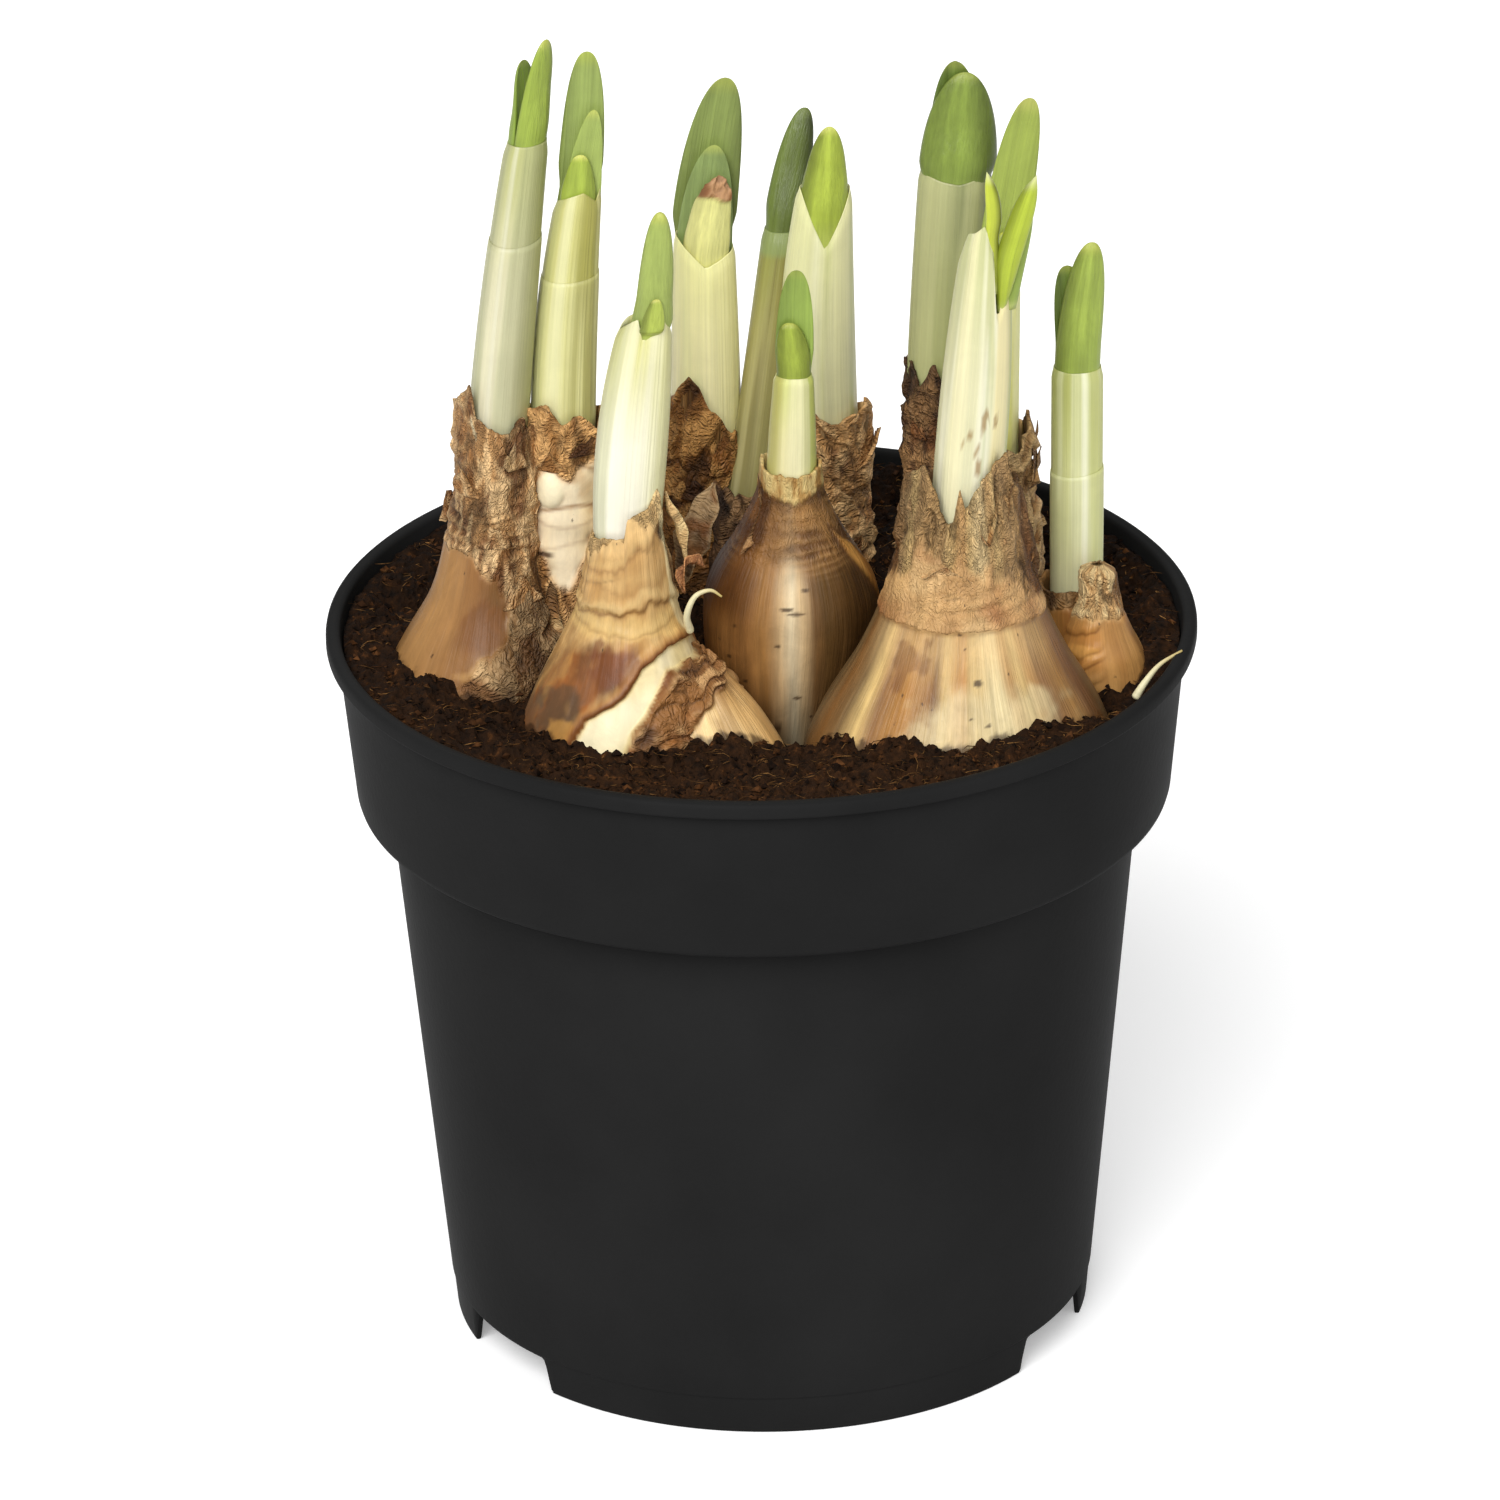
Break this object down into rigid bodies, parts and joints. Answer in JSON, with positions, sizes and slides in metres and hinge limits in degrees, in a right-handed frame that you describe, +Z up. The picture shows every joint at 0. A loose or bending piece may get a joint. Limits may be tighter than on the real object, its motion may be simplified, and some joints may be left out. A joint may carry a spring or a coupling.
{
  "type": "potted paperwhite narcissus bulbs",
  "caption": "Clumps of dry brown narcissus bulbs with young green shoots, half sunk in the soil of a round black nursery pot.",
  "frame": {"origin": "centre of the pot's footprint, on the surface that the pot stands on", "axes": "+Z up, +Y to the back and +X to the right as seen from the front"},
  "size_m": [0.15, 0.15, 0.2385],
  "materials": {
    "pot": "matte",
    "soil": "matte",
    "bulb": "satin",
    "sheath": "satin",
    "leaf": "satin",
    "bud": "satin"
  },
  "bodies": {
    "root": {"pot": "pot", "soil": "soil", "bulb_left": "bulb", "bulb_front_left": "bulb", "bulb_front_right": "bulb", "bulb_rear_left": "bulb", "bulb_rear": "bulb", "bulb_centre": "bulb", "bulb_right": "bulb", "sheath_left": "sheath", "outer_sheath_left": "sheath", "leaf_left_front": "leaf", "leaf_left_back": "leaf", "sheath_left_inner": "sheath", "outer_sheath_left_inner": "sheath", "leaf_left_inner_back": "leaf", "leaf_left_inner_core": "leaf", "leaf_left_inner_front": "leaf", "sheath_front_left": "sheath", "leaf_front_left_back": "leaf", "leaf_front_left_front": "leaf", "sheath_rear_left": "sheath", "leaf_rear_left_back": "leaf", "leaf_rear_left_core": "leaf", "bud_rear_left_front": "bud", "sheath_rear_middle": "sheath", "leaf_rear_middle_back": "leaf", "leaf_rear_middle_front": "leaf", "sheath_rear": "sheath", "leaf_rear_front": "leaf", "leaf_rear_back": "leaf", "sheath_centre": "sheath", "leaf_centre_back": "leaf", "leaf_centre_front": "leaf", "sheath_right_rear": "sheath", "leaf_right_rear_front": "leaf", "leaf_right_rear_back": "leaf", "sheath_right_inner": "sheath", "leaf_right_inner_back": "leaf", "leaf_right_inner_front": "leaf", "sheath_front_right": "sheath", "leaf_front_right_back": "leaf", "leaf_front_right_front": "leaf", "sheath_right": "sheath", "outer_sheath_right": "sheath", "leaf_right_front": "leaf", "leaf_right_back": "leaf"}
  },
  "joints": []
}
